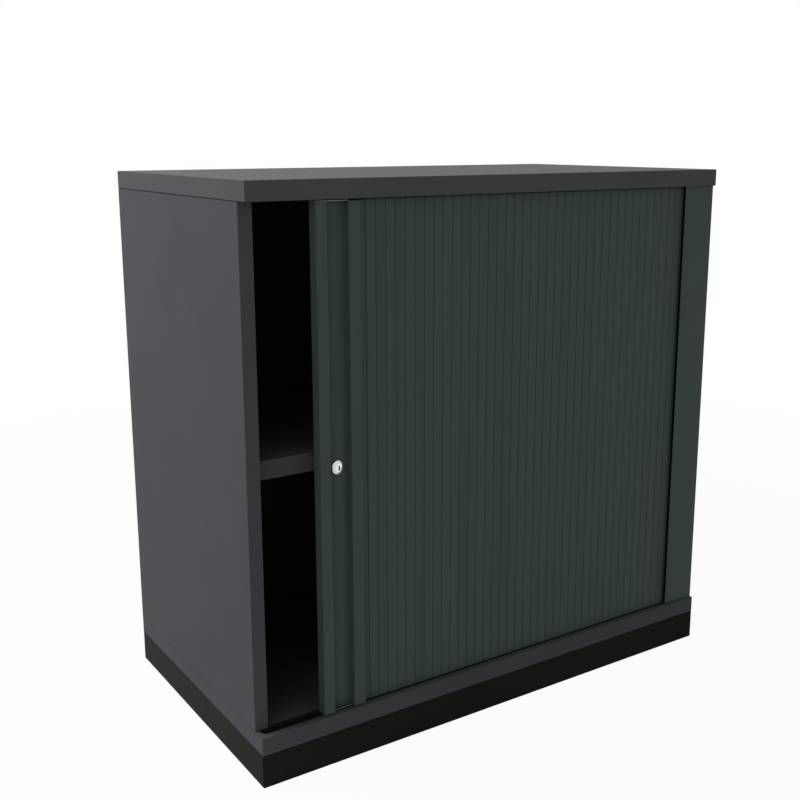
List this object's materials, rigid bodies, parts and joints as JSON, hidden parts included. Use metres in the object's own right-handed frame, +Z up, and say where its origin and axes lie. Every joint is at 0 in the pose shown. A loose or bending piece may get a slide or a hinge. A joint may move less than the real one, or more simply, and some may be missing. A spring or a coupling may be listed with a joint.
{
  "type": "tambour door cabinet",
  "caption": "Low office cabinet with a slatted shutter door that slides sideways behind a cover, an adjustable shelf and a lock in the door's grip profile.",
  "frame": {"origin": "middle of the plinth's footprint, on the floor", "axes": "+X to the right as seen from the front, +Y to the back, +Z up; the door faces -Y and opens towards +X"},
  "size_m": [0.8, 0.44, 0.782],
  "materials": {
    "board": "anthracite melamine on chipboard",
    "inside": "anthracite melamine on chipboard",
    "plinth": "black laminate",
    "slat": "dark green, satin, extruded",
    "track": "black, low friction",
    "end_plate": "light grey",
    "rubber": "black",
    "chrome": "polished",
    "steel": "zinc plated",
    "dowel": "bare beech, grooved"
  },
  "bodies": {
    "carcass": {"top_panel": "board", "base_panel": "board", "left_side_panel": "board", "right_side_panel": "board", "back_panel": "board", "inner_partition": "inside", "rear_screen": "inside", "shelf": "inside", "shelf_edge_strip": "inside", "plinth_front": "plinth", "plinth_rear": "plinth", "plinth_left": "plinth", "plinth_right": "plinth", "cover_panel": "slat", "curtain_tail": "slat", "lower_track": "track", "upper_track": "track", "lower_track_stop": "rubber", "upper_track_stop": "rubber", "cover_seal": "rubber", "lock_keep": "steel", "keep_screw_1": "steel", "keep_screw_2": "steel", "shelf_pin_front_left": "steel", "shelf_pin_front_right": "steel", "shelf_pin_rear_left": "steel", "shelf_pin_rear_right": "steel", "base_dowel_front_left": "dowel", "top_dowel_front_left": "dowel", "foot_socket_front_left": "track", "adjuster_cap_front_left": "track", "base_dowel_rear_left": "dowel", "top_dowel_rear_left": "dowel", "foot_socket_rear_left": "track", "adjuster_cap_rear_left": "track", "base_dowel_front_right": "dowel", "top_dowel_front_right": "dowel", "foot_socket_front_right": "track", "adjuster_cap_front_right": "track", "base_dowel_rear_right": "dowel", "top_dowel_rear_right": "dowel", "foot_socket_rear_right": "track", "adjuster_cap_rear_right": "track"},
    "door": {"leading_profile": "slat", "profile_end_plate": "end_plate", "lower_glider": "track", "upper_glider": "track", "curtain_front": "slat", "lock_housing": "chrome", "lock_nut": "steel"},
    "lock_plug": {"lock_cylinder": "chrome", "lock_cam": "steel", "lock_cam_screw": "steel"},
    "levelling_foot_front_left": {"foot_front_left": "steel"},
    "levelling_foot_rear_left": {"foot_rear_left": "steel"},
    "levelling_foot_front_right": {"foot_front_right": "steel"},
    "levelling_foot_rear_right": {"foot_rear_right": "steel"}
  },
  "joints": [
    {"name": "door_slide", "type": "slide", "parent": "carcass", "child": "door", "axis": [1, 0, 0], "range_m": [-0.0945, 0.578], "deforming": ["curtain_front", "curtain_tail"]},
    {"name": "lock_turn", "type": "hinge", "parent": "door", "child": "lock_plug", "pos_m": [-0.274, -0.2, 0.412], "axis": [0, 1, 0], "range_deg": [0, 90]},
    {"name": "foot_height_front_left", "type": "slide", "parent": "carcass", "child": "levelling_foot_front_left", "axis": [0, 0, 1], "range_m": [-0.01, 0.002]},
    {"name": "foot_height_rear_left", "type": "slide", "parent": "carcass", "child": "levelling_foot_rear_left", "axis": [0, 0, 1], "range_m": [-0.01, 0.002]},
    {"name": "foot_height_front_right", "type": "slide", "parent": "carcass", "child": "levelling_foot_front_right", "axis": [0, 0, 1], "range_m": [-0.01, 0.002]},
    {"name": "foot_height_rear_right", "type": "slide", "parent": "carcass", "child": "levelling_foot_rear_right", "axis": [0, 0, 1], "range_m": [-0.01, 0.002]}
  ]
}
